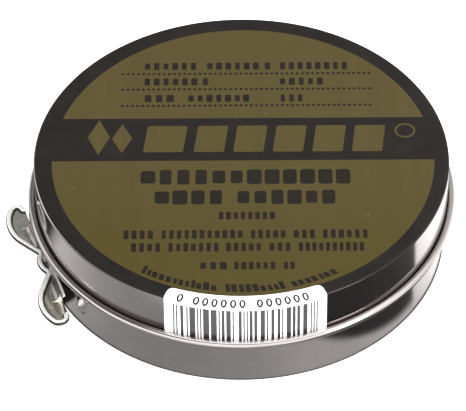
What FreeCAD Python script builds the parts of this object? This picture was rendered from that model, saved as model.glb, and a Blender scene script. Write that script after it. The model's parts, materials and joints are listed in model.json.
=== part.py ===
import FreeCAD, Part
import math
import os
import Sketcher

# Shoe polish tin with a slip-on lid and a butterfly key riveted to the base wall.
# Millimetres. The origin is the centre of the flat underside, +Z up, and -Y is the labelled front.
# A piece that belongs to the rivet is drawn with the rivet's axis along its own X and is then turned
# about Z to the rivet's azimuth.

SHEET_CELLS = {
    # base: a drawn cup of tinplate, with a bead along its open edge
    "base_radius": 42.0,
    "base_gauge": 0.25,
    "base_rim": 20.3,
    "base_corner": 0.5,
    "base_bead": 0.45,
    "foot_bead_radius": 35.0,
    "foot_bead_width": 1.4,
    "foot_bead_rise": 0.5,
    # lid: a shallow cap whose skirt ends in an outward curl
    "lid_radius": 42.55,
    "lid_gauge": 0.25,
    "lid_top": 21.95,
    "lid_shoulder": 0.4,
    "curl_level": 11.8,
    "curl_inside": 0.6,
    "curl_last_x": 0.5,
    # polish: the wax cast in the base
    "polish_top": 16.8,
    "polish_gap": 0.02,
    # rivet: it holds the key to the wall
    "rivet_azimuth": 198.2,
    "rivet_level": 7.2,
    "shank_radius": 0.9,
    "rivet_head": 1.45,
    "head_rise": 0.4,
    "head_play": 0.05,
    "tail_depth": 0.5,
    # key: a flat tab on the wall and two rimmed wings that stand out from the tab's lower edge
    "tab_face": 42.6,
    "key_gauge": 0.4,
    "tab_rise": 1.8,
    "tab_half_top": 13.3,
    "tab_half_low": 11.0,
    "pivot_radius": 0.95,
    "wing_drop": 2.2,
    "rim_height": 1.2,
    "rim_width": 1.1,
    "waist_half": 2.9,
    "waist_out": 0.65,
    "waist_bend": 6.0,
    "flank_half": 7.6,
    "flank_out": 3.55,
    "crown_bend": 8.5,
    "crown_half": 17.0,
    "crown_out": 3.1,
    "tip_bend": 2.4,
    "tip_half": 18.3,
    "tip_out": 1.1,
    "heel_bend": 1.7,
    "heel_half": 16.6,
    "dish_start": 4.9,
    "dish_inner": 0.4,
    "dish_flank_half": 8.3,
    "dish_flank_out": 2.55,
    "dish_crown_bend": 7.4,
    "dish_crown_half": 16.3,
    "dish_crown_out": 2.2,
    "dish_tip_bend": 1.3,
    "dish_tip_half": 16.6,
    # dimple: a locating boss pressed outward in the base wall beside the key
    "dimple_turn": 21.3,
    "dimple_level": 6.7,
    "dimple_radius": 1.7,
    "dimple_rise": 0.9,
    # label: a paper sticker folded from the lid's top over its shoulder and down its skirt
    "label_gauge": 0.1,
    "label_inner": 39.65,
    "label_low": 12.45,
    "label_azimuth": 248.7,
    "label_sweep": 44.3,
}

RIVET_REACH = 60.0  # length of a cutting tool that has to leave the tin

os.makedirs("parts", exist_ok=True)
doc = FreeCAD.newDocument("PolishTin")
sheet = doc.addObject("Spreadsheet::Sheet", "Sizes")
for row, (alias, number) in enumerate(SHEET_CELLS.items(), start=1):
    sheet.set(f"A{row}", alias)
    sheet.set(f"B{row}", str(number))
    sheet.setAlias(f"B{row}", alias)
doc.recompute()


class Dim:
    """A length as a number and as the expression that binds it to the sheet."""

    def __init__(self, value, text):
        self.value = value
        self.text = text

    def __add__(self, other):
        other = as_dim(other)
        return Dim(self.value + other.value, f"({self.text} + {other.text})")

    def __sub__(self, other):
        other = as_dim(other)
        return Dim(self.value - other.value, f"({self.text} - {other.text})")

    def __mul__(self, factor):
        return Dim(self.value * factor, f"({self.text} * {factor})")

    def __neg__(self):
        return self * -1


def as_dim(length):
    return length if isinstance(length, Dim) else Dim(float(length), str(float(length)))


def cell(alias):
    return Dim(float(sheet.get(alias)), f"Sizes.{alias}")


def new_body(label):
    body = doc.addObject("PartDesign::Body", label)
    body.Label = label
    return body


def new_sketch(body, name, role, lift=None):
    """A sketch on one of the body's own origin planes, lifted along that plane's normal."""
    plane = next(item for item in body.Origin.OriginFeatures if item.Role == role)
    sketch = body.newObject("Sketcher::SketchObject", name)
    sketch.AttachmentSupport = [(plane, "")]
    sketch.MapMode = "FlatFace"
    if lift is not None:
        sketch.setExpression("AttachmentOffset.Base.z", lift.text)
    return sketch


def bind(sketch, index, dim):
    sketch.setExpression(f"Constraints[{index}]", dim.text)


def arc_between(start, end, bend):
    """An arc of radius |bend| from start to end, turning left when bend is positive."""
    middle = (start + end) * 0.5
    chord = end - start
    left = FreeCAD.Vector(-chord.y, chord.x, 0).normalize()
    height = math.sqrt(bend ** 2 - (chord.Length / 2) ** 2)
    centre = middle + left * math.copysign(height, bend)
    first, last = (start, end) if bend > 0 else (end, start)
    begin = math.atan2(first.y - centre.y, first.x - centre.x)
    finish = math.atan2(last.y - centre.y, last.x - centre.x)
    if finish < begin:
        finish += 2 * math.pi
    circle = Part.Circle(centre, FreeCAD.Vector(0, 0, 1), abs(bend))
    return Part.ArcOfCircle(circle, begin, finish)


def outline(sketch, corners):
    """A closed outline. A corner is (x, y) or (x, y, bend), where bend shapes the run that follows it."""
    corners = [tuple(as_dim(part) for part in corner) for corner in corners]
    spots = [FreeCAD.Vector(corner[0].value, corner[1].value, 0) for corner in corners]
    ends = []
    for index, corner in enumerate(corners):
        start = spots[index]
        end = spots[(index + 1) % len(spots)]
        if len(corner) == 3:
            edge = sketch.addGeometry(arc_between(start, end, corner[2].value), False)
            bind(sketch, sketch.addConstraint(Sketcher.Constraint("Radius", edge, abs(corner[2].value))),
                 corner[2] * math.copysign(1, corner[2].value))
            ends.append((edge, 1, 2) if corner[2].value > 0 else (edge, 2, 1))
        else:
            edge = sketch.addGeometry(Part.LineSegment(start, end), False)
            ends.append((edge, 1, 2))
    for index, (edge, first, last) in enumerate(ends):
        follower, follower_first, _ = ends[(index + 1) % len(ends)]
        sketch.addConstraint(Sketcher.Constraint("Coincident", edge, last, follower, follower_first))
        for kind, dim in zip(("DistanceX", "DistanceY"), corners[index]):
            number = sketch.addConstraint(Sketcher.Constraint(kind, -1, 1, edge, first, dim.value))
            bind(sketch, number, dim)


def circle(sketch, level, radius):
    """A circle of the given radius on the sketch's vertical axis."""
    ring = sketch.addGeometry(
        Part.Circle(FreeCAD.Vector(0, level.value, 0), FreeCAD.Vector(0, 0, 1), radius.value), False)
    sketch.addConstraint(Sketcher.Constraint("PointOnObject", ring, 3, -2))
    bind(sketch, sketch.addConstraint(Sketcher.Constraint("DistanceY", -1, 1, ring, 3, level.value)), level)
    bind(sketch, sketch.addConstraint(Sketcher.Constraint("Radius", ring, radius.value)), radius)


def feature(body, kind, name, sketch, **settings):
    """A PartDesign feature of the sketch. A Dim setting is bound to the sheet."""
    item = body.newObject(f"PartDesign::{kind}", name)
    item.Profile = sketch
    for key, setting in settings.items():
        if isinstance(setting, Dim):
            item.setExpression(key, setting.text)
        else:
            setattr(item, key, setting)
    doc.recompute()
    return item


def turned(body, name, sketch, axis="V_Axis", kind="Revolution", angle=360.0):
    return feature(body, kind, name, sketch, ReferenceAxis=(sketch, [axis]), Angle=angle)


def place(body, turn, lift=None, extra_turn=0.0):
    """Turn the body about Z by the sheet's angle plus extra_turn, and lift it."""
    body.Placement = FreeCAD.Placement(
        FreeCAD.Vector(0, 0, 0), FreeCAD.Rotation(FreeCAD.Vector(0, 0, 1), turn.value + extra_turn))
    body.setExpression("Placement.Rotation.Angle", (turn + extra_turn).text)
    if lift is not None:
        body.setExpression("Placement.Base.z", lift.text)


def make_base():
    radius, gauge, rim = cell("base_radius"), cell("base_gauge"), cell("base_rim")
    corner, bead = cell("base_corner"), cell("base_bead")
    foot, half, rise = cell("foot_bead_radius"), cell("foot_bead_width"), cell("foot_bead_rise")
    azimuth, level = cell("rivet_azimuth"), cell("rivet_level")

    body = new_body("base_shell")
    section = new_sketch(body, "base_section", "XZ_Plane")
    outline(section, [
        (0, 0),
        (foot - half, 0),
        (foot, rise),
        (foot + half, 0),
        (radius - corner, 0, corner),
        (radius, corner),
        (radius, rim - bead, bead),
        (radius - bead, rim, bead),
        (radius - bead * 2, rim - bead, bead),
        (radius - bead, rim - bead * 2),
        (radius - gauge, rim - bead * 2),
        (radius - gauge, corner, gauge - corner),
        (radius - corner, gauge),
        (foot + half, gauge),
        (foot, rise + gauge),
        (foot - half, gauge),
        (0, gauge),
    ])
    turned(body, "base_turned", section)

    dimple_level, dimple_radius = cell("dimple_level"), cell("dimple_radius")
    crown = cell("dimple_rise")
    for kind, name, inset in (("Revolution", "dimple_boss", 0.0), ("Groove", "dimple_hollow", 1.0)):
        shrink = gauge * inset
        seat = radius - gauge * 0.5 - shrink
        apex = radius + crown - shrink
        reach = dimple_radius - shrink
        height = apex.value - seat.value
        bend = (reach.value ** 2 + height ** 2) / (2 * height)
        sketch = new_sketch(body, f"{name}_section", "XZ_Plane")
        sketch.AttachmentOffset = FreeCAD.Placement(
            FreeCAD.Vector(0, dimple_level.value, 0),
            FreeCAD.Rotation(FreeCAD.Vector(0, 1, 0), cell("dimple_turn").value))
        sketch.setExpression("AttachmentOffset.Base.y", dimple_level.text)
        sketch.setExpression("AttachmentOffset.Rotation.Angle", cell("dimple_turn").text)
        outline(sketch, [(seat, 0), (apex, 0, bend), (seat, reach)])
        turned(body, name, sketch, axis="H_Axis", kind=kind)

    bore = new_sketch(body, "rivet_bore_circle", "YZ_Plane")
    circle(bore, level, cell("shank_radius"))
    feature(body, "Pocket", "rivet_bore", bore, Length=RIVET_REACH, Reversed=True)
    place(body, azimuth)
    return body


def make_lid():
    radius, gauge, top = cell("lid_radius"), cell("lid_gauge"), cell("lid_top")
    shoulder, level, inside = cell("lid_shoulder"), cell("curl_level"), cell("curl_inside")
    centre = radius + inside
    outside = inside + gauge
    # the curl's free edge lies on a line through its centre, 120 degrees round from the outer side
    last = cell("curl_last_x")
    slope = math.sqrt(1 / last.value ** 2 - 1)
    ends = [(centre - size * last.value, level + size * (last.value * slope)) for size in (inside, outside)]

    body = new_body("lid_shell")
    section = new_sketch(body, "lid_section", "XZ_Plane")
    outline(section, [
        (0, top - gauge),
        (radius - shoulder, top - gauge, gauge - shoulder),
        (radius - gauge, top - shoulder),
        (radius - gauge, level, outside),
        (centre, level - outside, outside),
        (centre + outside, level, outside),
        (ends[1][0], ends[1][1]),
        (ends[0][0], ends[0][1], -inside),
        (centre + inside, level, -inside),
        (centre, level - inside, -inside),
        (radius, level),
        (radius, top - shoulder, shoulder),
        (radius - shoulder, top),
        (0, top),
    ])
    turned(body, "lid_turned", section)
    return body


def make_polish():
    gap = cell("polish_gap")
    radius = cell("base_radius") - cell("base_gauge") - gap
    floor = cell("base_gauge") + gap
    corner = cell("base_corner") - cell("base_gauge")
    foot, half, rise = cell("foot_bead_radius"), cell("foot_bead_width"), cell("foot_bead_rise")
    top = cell("polish_top")

    body = new_body("polish_cake")
    section = new_sketch(body, "polish_section", "XZ_Plane")
    outline(section, [
        (0, floor),
        (foot - half, floor),
        (foot, rise + floor),
        (foot + half, floor),
        (radius - corner, floor, corner),
        (radius, floor + corner),
        (radius, top),
        (0, top),
    ])
    turned(body, "polish_turned", section)

    seat = new_sketch(body, "tail_seat_circle", "YZ_Plane",
                      cell("base_radius") - cell("base_gauge") - cell("tail_depth") - gap * 4)
    circle(seat, cell("rivet_level"), cell("rivet_head") + gap)
    feature(body, "Pocket", "tail_seat", seat, Length=RIVET_REACH, Reversed=True)
    place(body, cell("rivet_azimuth"))
    return body


def make_rivet():
    shank, head, play = cell("shank_radius"), cell("rivet_head"), cell("head_play")
    under_head = cell("tab_face") + play
    wall_inside = cell("base_radius") - cell("base_gauge") - play
    tail = wall_inside - cell("tail_depth")
    rise = cell("head_rise")

    body = new_body("key_rivet")
    section = new_sketch(body, "rivet_section", "XZ_Plane")
    outline(section, [
        (tail, 0),
        (under_head + rise, 0),
        (under_head + rise, head * 0.5, rise * 3),
        (under_head + rise * 0.3, head),
        (under_head, head),
        (under_head, shank),
        (wall_inside, shank),
        (wall_inside, head),
        (tail, head),
    ])
    turned(body, "rivet_turned", section, axis="H_Axis")
    place(body, cell("rivet_azimuth"), cell("rivet_level"))
    return body


def make_key():
    face, gauge = cell("tab_face"), cell("key_gauge")
    drop, rim = cell("wing_drop"), cell("rim_height")
    back = face - gauge

    body = new_body("butterfly_key")
    wings = new_sketch(body, "wings_outline", "XY_Plane", -drop - rim * 0.5)
    waist = (cell("waist_half"), face + cell("waist_out"))
    flank = (cell("flank_half"), face + cell("flank_out"))
    crown = (cell("crown_half"), face + cell("crown_out"))
    tip = (cell("tip_half"), face + cell("tip_out"))
    heel = (cell("heel_half"), back)
    outline(wings, [
        heel + (cell("heel_bend"),),
        tip + (cell("tip_bend"),),
        crown + (cell("crown_bend"),),
        flank,
        waist + (cell("waist_bend"),),
        (-waist[0], waist[1]),
        (-flank[0], flank[1], cell("crown_bend")),
        (-crown[0], crown[1], cell("tip_bend")),
        (-tip[0], tip[1], cell("heel_bend")),
        (-heel[0], back),
    ])
    feature(body, "Pad", "wings", wings, Length=rim)

    tab = new_sketch(body, "tab_outline", "XZ_Plane", -face)
    low, high = cell("tab_half_low"), cell("tab_half_top")
    outline(tab, [(-low, -drop), (low, -drop), (high, cell("tab_rise")), (-high, cell("tab_rise"))])
    feature(body, "Pad", "tab", tab, Length=gauge)

    dishes = new_sketch(body, "dish_outlines", "XY_Plane", -drop + rim * 0.5)
    shelf = face + cell("dish_inner")
    for side in (1, -1):
        turn = side * 1.0
        corners = [
            (cell("dish_start") * turn, shelf),
            (cell("dish_tip_half") * turn, shelf, cell("dish_tip_bend") * turn),
            (cell("dish_crown_half") * turn, face + cell("dish_crown_out"), cell("dish_crown_bend") * turn),
            (cell("dish_flank_half") * turn, face + cell("dish_flank_out")),
        ]
        outline(dishes, corners)
    feature(body, "Pocket", "dishes", dishes, Length=rim - gauge)

    pivot = new_sketch(body, "pivot_circle", "XZ_Plane", -face - 1.0)
    circle(pivot, as_dim(0.0), cell("pivot_radius"))
    feature(body, "Pocket", "pivot_hole", pivot, Length=gauge * 5.0, Reversed=True)
    place(body, cell("rivet_azimuth"), cell("rivet_level"), extra_turn=-90.0)
    return body


def make_label():
    gauge, radius = cell("label_gauge"), cell("lid_radius")
    top, shoulder, low = cell("lid_top"), cell("lid_shoulder"), cell("label_low")
    inner = cell("label_inner")

    body = new_body("barcode_label")
    section = new_sketch(body, "label_section", "XZ_Plane")
    outline(section, [
        (inner, top),
        (radius - shoulder, top, -shoulder),
        (radius, top - shoulder),
        (radius, low),
        (radius + gauge, low),
        (radius + gauge, top - shoulder, shoulder + gauge),
        (radius - shoulder, top + gauge),
        (inner, top + gauge),
    ])
    turned(body, "label_turned", section, angle=cell("label_sweep"))
    place(body, cell("label_azimuth"))
    return body


def check(bodies):
    """Stop if any object of the document failed or any piece is not a valid solid."""
    for item in doc.Objects:
        if "Invalid" in item.State or "Error" in item.State:
            raise RuntimeError(f"{item.Name} failed: {item.State}")
    for body in bodies:
        shape = body.Shape
        if shape.isNull() or not shape.isValid() or not shape.Solids:
            raise RuntimeError(f"{body.Label} has no valid solid")


pieces = [make_base(), make_lid(), make_polish(), make_key(), make_rivet(), make_label()]
doc.recompute()
check(pieces)
for piece in pieces:
    piece.Shape.exportStep(f"parts/{piece.Label}.step")
    box = piece.Shape.BoundBox
    print(f"{piece.Label}: volume {piece.Shape.Volume:.2f} mm3, solids {len(piece.Shape.Solids)}, "
          f"x {box.XMin:.2f}..{box.XMax:.2f}, y {box.YMin:.2f}..{box.YMax:.2f}, z {box.ZMin:.2f}..{box.ZMax:.2f}")
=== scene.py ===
import json
import random
from functools import reduce
from math import asin, atan2, copysign, cos, degrees, exp, hypot, pi, radians, sin, sqrt

import bmesh
import bpy
import numpy as np
from mathutils import Matrix, Vector
from mathutils.geometry import delaunay_2d_cdt


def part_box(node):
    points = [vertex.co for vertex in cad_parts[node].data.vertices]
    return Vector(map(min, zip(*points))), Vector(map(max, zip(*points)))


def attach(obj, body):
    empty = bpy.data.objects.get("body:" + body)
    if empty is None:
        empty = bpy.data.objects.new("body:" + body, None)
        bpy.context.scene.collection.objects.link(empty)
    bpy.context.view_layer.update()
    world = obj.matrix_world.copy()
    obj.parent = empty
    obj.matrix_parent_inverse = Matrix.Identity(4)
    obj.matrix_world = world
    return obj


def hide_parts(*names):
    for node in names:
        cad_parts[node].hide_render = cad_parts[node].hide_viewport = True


# Looks of the shoe polish tin. Its pieces are built in millimetres in the part's own frame and scaled to
# metres when the mesh is made. The stage, the lights and the camera are in metres.

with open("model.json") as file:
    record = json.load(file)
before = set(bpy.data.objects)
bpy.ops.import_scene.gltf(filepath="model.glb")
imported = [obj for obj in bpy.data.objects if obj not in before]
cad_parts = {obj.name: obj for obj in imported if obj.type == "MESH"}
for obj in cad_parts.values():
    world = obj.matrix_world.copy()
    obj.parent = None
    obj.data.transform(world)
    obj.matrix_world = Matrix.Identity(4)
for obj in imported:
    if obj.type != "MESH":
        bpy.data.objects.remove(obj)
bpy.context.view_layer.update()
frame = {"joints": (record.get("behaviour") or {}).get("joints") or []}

MM = 0.001

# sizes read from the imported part
lid_low, lid_high = (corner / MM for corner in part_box("lid_shell"))
base_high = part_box("base_shell")[1] / MM
label_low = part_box("barcode_label")[0] / MM
wax_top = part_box("polish_cake")[1].z / MM
key_joint = next(joint for joint in frame["joints"] if joint["name"] == "key_turn")
pivot = Vector(key_joint["pos_m"]) / MM

# sheet metal
GAUGE = 0.25
CURL_INSIDE = 0.6
SHOULDER = 0.4
CURL_OUTSIDE = CURL_INSIDE + GAUGE
lid_radius = lid_high.x - CURL_OUTSIDE - CURL_INSIDE
curl_centre = lid_radius + CURL_INSIDE
curl_level = lid_low.z + CURL_OUTSIDE
curl_top = curl_level + CURL_OUTSIDE
lid_top = lid_high.z
base_radius = base_high.x
base_rim = base_high.z
CORNER = 0.5
BEAD = 0.45

# the pressed ring in the base's floor
FOOT, FOOT_HALF, FOOT_RISE = 35.0, 1.4, 0.5

# rivet and key: their shared frame has x along the wall, y outwards and z up
rivet_azimuth = atan2(pivot.y, pivot.x)
TAB_FACE, TAB_GAUGE, BLADE_DROP = 42.6, 0.4, 2.2

# dimple in the base's wall, beside the key
DIMPLE_TURN, DIMPLE_LEVEL, DIMPLE_RISE = radians(21.3), 6.5, 1.45
DIMPLE_HALF_WIDE, DIMPLE_HALF_TALL = 2.35 / 1.4, 2.35 / 0.88

# print on the lid
OLIVE_RADIUS = 39.12
PRINT_SHIFT = (0.36, -0.3)
PRINT_EDGE, PRINT_EDGE_LOW, PRINT_EDGE_HIGH = 30.0, 2.0, 80.0
BAND_LOW, BAND_HIGH = -1.04, 11.6
PRINT_TURN = radians(-0.25)
INK = 0.012

# label
LABEL_GAUGE, LABEL_CORNER = 0.1, 1.2
LABEL_INNER = 39.65
LABEL_START, LABEL_END = radians(248.7), radians(293.0)
BARS_START, BARS_END = radians(251.2), radians(290.4)
BAR_TOP = 20.9
TONER_SHADE_SPAN = (13.2, 14.3)
FIGURE_MIDDLE, FIGURE_TALL, FIGURE_WIDE = 2.1, 2.1, 1.32
FIGURE_STROKE, FIGURE_LIFT = 0.4, 0.02


# ---------------- materials

class Nodes:
    """Short ways to add nodes to a tree and join them. where is the output with the place or direction."""

    def __init__(self, tree, source):
        self.tree = tree
        self.where = self.add("TexCoord").outputs[source]

    def add(self, kind, **settings):
        node = self.tree.nodes.new("ShaderNode" + kind)
        for key, value in settings.items():
            setattr(node, key, value)
        return node

    def join(self, output, socket):
        self.tree.links.new(output, socket)

    def feed(self, sockets, values):
        """Sets each socket to a number or a colour, or joins an output to it."""
        for socket, value in zip(sockets, values):
            if isinstance(value, (int, float)):
                socket.default_value = value
            elif isinstance(value, tuple):
                socket.default_value = (*value, 1)
            else:
                self.join(value, socket)

    def give(self, node, **values):
        """Feeds a node's inputs by name, with _ for a space."""
        self.feed([node.inputs[key.replace("_", " ")] for key in values], values.values())

    def math(self, kind, *values):
        node = self.add("Math", operation=kind)
        self.feed(node.inputs, values)
        return node.outputs[0]

    def plus(self, *values):
        return reduce(lambda a, b: self.math("ADD", a, b), values)

    def times(self, *values):
        return reduce(lambda a, b: self.math("MULTIPLY", a, b), values)

    def spread(self, value, low, high, to_low=0.0, to_high=1.0, smooth=False):
        node = self.add("MapRange", interpolation_type="SMOOTHSTEP" if smooth else "LINEAR")
        self.feed(node.inputs, (value, low, high, to_low, to_high))
        return node.outputs["Result"]

    def along(self, axis):
        split = self.add("SeparateXYZ")
        self.join(self.where, split.inputs[0])
        return split.outputs[axis]

    def reach(self):
        """Distance from the Z axis."""
        squares = [self.times(self.along(axis), self.along(axis)) for axis in "XY"]
        return self.math("SQRT", self.plus(*squares))


class Shader(Nodes):
    """A principled material, patterned by the place in the piece's own coordinates."""

    def __init__(self, name, **values):
        self.material = bpy.data.materials.new(name)
        self.material.use_nodes = True
        super().__init__(self.material.node_tree, "Object")
        self.bsdf = self.tree.nodes["Principled BSDF"]
        self.give(self.bsdf, **values)

    def noise(self, scale, detail=3.0, rough=0.55):
        """Fractal noise. scale is one number, or a number for each axis."""
        place = self.where
        if isinstance(scale, tuple):
            stretch = self.add("Mapping")
            stretch.inputs["Scale"].default_value = scale
            self.join(place, stretch.inputs["Vector"])
            scale, place = 1.0, stretch.outputs[0]
        node = self.add("TexNoise")
        self.give(node, Vector=place, Scale=scale, Detail=detail, Roughness=rough)
        return node.outputs["Fac"]

    def cells(self, scale):
        """Distance to the nearest of a set of scattered points."""
        node = self.add("TexVoronoi")
        self.give(node, Vector=self.where, Scale=scale)
        return node.outputs["Distance"]

    def chips(self, scale, size, patch, rare):
        """Scattered specks, kept only where a slow noise is above rare."""
        specks = self.spread(self.cells(scale), size, size + 0.012, 1.0, 0.0)
        return self.times(specks, self.spread(self.noise(patch, 1), rare, rare + 0.02))

    def blend(self, factor, first, second):
        node = self.add("Mix", data_type="RGBA")
        self.feed([node.inputs[place] for place in (0, 6, 7)], (factor, first, second))
        return node.outputs[2]

    def look(self, colour, rough, *bumps):
        """The material with that colour, roughness and (pattern, height in mm) bumps."""
        self.give(self.bsdf, Base_Color=colour, Roughness=rough)
        normal = self.bsdf.inputs["Normal"]
        for pattern, height in bumps:
            node = self.add("Bump")
            self.give(node, Height=pattern, Distance=height * MM)
            if normal.links:
                self.join(normal.links[0].from_socket, node.inputs["Normal"])
            self.join(node.outputs["Normal"], normal)
        return self.material


def tinplate(name, colour, dark, rough, lines=1.0, groove=None):
    """Bright drawn sheet: fine lines run round the wall, over a slow cloudiness and a few dull spots.

    groove is (radius, low, high) in mm of a band of painted shade on the wall at that radius, full below low
    and gone above high.
    """
    shader = Shader(name, Metallic=1.0)
    ring = shader.noise((60, 60, 9000 * lines), 4, 0.6)
    cloud = shader.noise(220)
    spots = shader.spread(shader.cells(420), 0.05, 0.16, 1.0, 0.0, smooth=True)
    stain = shader.times(spots, shader.spread(shader.noise(90, 2), 0.62, 0.72, 0.0, 0.6))
    tone = shader.plus(shader.spread(ring, 0.3, 0.7, 0.0, 0.55), shader.spread(cloud, 0.3, 0.7, 0.0, 0.3))
    sheet = shader.blend(shader.plus(tone, stain), colour, dark)
    # painted shade: the wall darkens in the groove where the lid's skirt meets its curl
    if groove:
        radius, low, high = (size * MM for size in groove)
        off_wall = shader.math("ABSOLUTE", shader.math("SUBTRACT", shader.reach(), radius))
        on_wall = shader.spread(off_wall, 0.05 * MM, 0.22 * MM, 1.0, 0.0)
        rise = shader.spread(shader.along("Z"), low, high, 1.0, 0.0, smooth=True)
        sheet = shader.blend(shader.times(on_wall, rise), sheet, GROOVE_SHADE)
    haze = shader.spread(cloud, 0.3, 0.75, rough * 0.85, rough * 1.25)
    return shader.look(sheet, shader.plus(haze, shader.times(stain, 0.15)), (ring, 0.0022), (cloud, 0.012))


def ink(name, colour, second, rough):
    """Litho ink: a satin film with a faint ripple, dust and the odd bright chip."""
    shader = Shader(name, Specular_IOR_Level=0.25)
    cloud = shader.noise(140, 4)
    tint = shader.blend(shader.spread(cloud, 0.3, 0.7), colour, second)
    return shader.look(shader.blend(shader.chips(260, 0.028, 75, 0.68), tint, (0.55, 0.52, 0.42)),
                       shader.spread(shader.noise(900), 0.3, 0.7, rough * 0.8, rough * 1.3),
                       (shader.noise(420, 2), 0.006), (cloud, 0.01))


def olive_lacquer():
    """A satin tinted lacquer over the rolled sheet: fine grain along Y, with painted shade that darkens it
    towards the front.
    """
    shader = Shader("lacquer_olive", Metallic=0.55, Coat_Weight=0.3, Coat_Roughness=0.22)
    grain = shader.noise((3400, 70, 70), 5, 0.65)
    streak = shader.noise((420, 14, 14), 3, 0.5)
    cloud = shader.noise(34)
    tone = shader.plus(*(shader.spread(lines, 0.25, 0.75, 0.0, 0.5) for lines in (grain, streak)))
    fine = shader.blend(tone, (0.101, 0.079, 0.026), (0.078, 0.061, 0.017))
    slow = shader.blend(shader.spread(cloud, 0.35, 0.65, 0.0, 0.35), fine, (0.082, 0.067, 0.018))
    # painted shade: the olive darkens towards the front
    front = shader.spread(shader.along("Y"), -30 * MM, 5 * MM, 0.6, 0.0, smooth=True)
    slow = shader.blend(front, slow, (0.075, 0.055, 0.006))
    return shader.look(shader.blend(shader.chips(230, 0.02, 60, 0.66), slow, (0.7, 0.66, 0.5)),
                       shader.spread(grain, 0.25, 0.75, 0.36, 0.5), (grain, 0.004), (cloud, 0.02))


def nickel(name, colour, second, metallic, rough):
    """Plated key steel: cloudy, with short drawn streaks."""
    shader = Shader(name, Metallic=metallic)
    cloud = shader.noise(520, 4)
    streak = shader.noise((260, 260, 1500), 4, 0.6)
    tone = shader.plus(shader.spread(cloud, 0.35, 0.7, 0.0, 0.6), shader.spread(streak, 0.4, 0.75, 0.0, 0.4))
    return shader.look(shader.blend(tone, colour, second),
                       shader.spread(cloud, 0.3, 0.75, rough * 0.7, rough * 1.5),
                       (shader.noise(700, 2), 0.004), (streak, 0.002))


def paper():
    """Smooth sticker paper."""
    shader = Shader("label_paper", Specular_IOR_Level=0.4)
    fibre = shader.noise(1600, 4)
    slow = shader.spread(shader.noise(120, 2), 0.3, 0.7)
    return shader.look(shader.blend(slow, (0.90, 0.90, 0.895), (0.86, 0.858, 0.85)),
                       shader.spread(fibre, 0.3, 0.7, 0.34, 0.5), (fibre, 0.004))


def toner():
    """Print on the label: dark grey bars with painted shade that makes them blacker where they reach the
    curl, and black figures.
    """
    shader = Shader("label_toner", Specular_IOR_Level=0.5)
    speck = shader.noise(3000)
    bar_grey = shader.blend(shader.spread(speck, 0.3, 0.7), (0.048, 0.044, 0.046), (0.068, 0.062, 0.065))
    # painted shade at the bars' lower ends, next to the curl
    foot = shader.spread(shader.along("Z"), TONER_SHADE_SPAN[0] * MM, TONER_SHADE_SPAN[1] * MM, 1.0, 0.0, smooth=True)
    head = shader.spread(shader.along("Z"), BAR_TOP * MM, (BAR_TOP + 0.3) * MM, 0.0, 0.9)
    return shader.look(shader.blend(shader.math("MAXIMUM", foot, head), bar_grey, (0.004, 0.004, 0.004)),
                       shader.spread(speck, 0.3, 0.7, 0.28, 0.45), (speck, 0.002))


def wax():
    """Poured black polish: a soft gloss skin with shallow ripples and pits."""
    shader = Shader("polish_wax", Coat_Weight=0.08, Coat_Roughness=0.2, Specular_IOR_Level=0.28)
    swirl = shader.noise(65, 5, 0.6)
    tint = shader.blend(shader.spread(swirl, 0.35, 0.65), (0.008, 0.007, 0.007), (0.02, 0.017, 0.015))
    return shader.look(tint, shader.spread(swirl, 0.35, 0.7, 0.22, 0.42),
                       (swirl, 0.25), (shader.spread(shader.cells(600), 0.0, 0.25), 0.02))


# the third colour is painted shade, laid in the groove above the lid's curl
TIN_BRIGHT, TIN_DULL, GROOVE_SHADE = (0.665, 0.635, 0.625), (0.555, 0.528, 0.52), (0.09, 0.075, 0.07)
MAT_TIN = tinplate("tinplate_wall", TIN_BRIGHT, TIN_DULL, 0.10,
                   groove=(lid_radius, curl_top + 0.95, curl_top + 2.1))
MAT_CREST = tinplate("tinplate_crest", TIN_BRIGHT, TIN_DULL, 0.5)
MAT_BASE = tinplate("tinplate_base", TIN_BRIGHT, TIN_DULL, 0.14)
MAT_RIVET = tinplate("rivet_steel", (0.60, 0.60, 0.59), (0.42, 0.42, 0.41), 0.22, lines=3.0)
MAT_BLACK = ink("ink_black", (0.0085, 0.0072, 0.0066), (0.0125, 0.0105, 0.0095), 0.2)
MAT_TYPE = ink("ink_type", (0.009, 0.0075, 0.005), (0.013, 0.010, 0.007), 0.26)
MAT_OLIVE = olive_lacquer()
# Lit and shaded copies of the key's one plated steel. The hem's copy is lighter and half matt: a painted
# highlight. The dish's copy is the plain one. The near-black copy is painted shade on the hem's outline, the
# crease, the underside and the cut edges. The tab's copy is darker: painted shade on the tab and the strip
# before it.
MAT_HEM = nickel("key_nickel", (0.95, 0.95, 0.94), (0.84, 0.84, 0.82), 0.5, 0.18)
MAT_DISH = nickel("key_nickel_dish", (1.0, 1.0, 0.86), (0.52, 0.53, 0.44), 1.0, 0.16)
MAT_KEY_SHADE = nickel("key_nickel_painted_shade", (0.10, 0.097, 0.09), (0.045, 0.043, 0.04), 0.8, 0.3)
MAT_TAB = nickel("key_nickel_tab", (0.46, 0.43, 0.41), (0.22, 0.20, 0.19), 0.85, 0.22)
MAT_PAPER = paper()
MAT_TONER = toner()
MAT_WAX = wax()


# ---------------- mesh helpers

def put(name, data):
    """A new object in the scene, made of that data."""
    thing = bpy.data.objects.new(name, data)
    bpy.context.scene.collection.objects.link(thing)
    return thing


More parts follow.
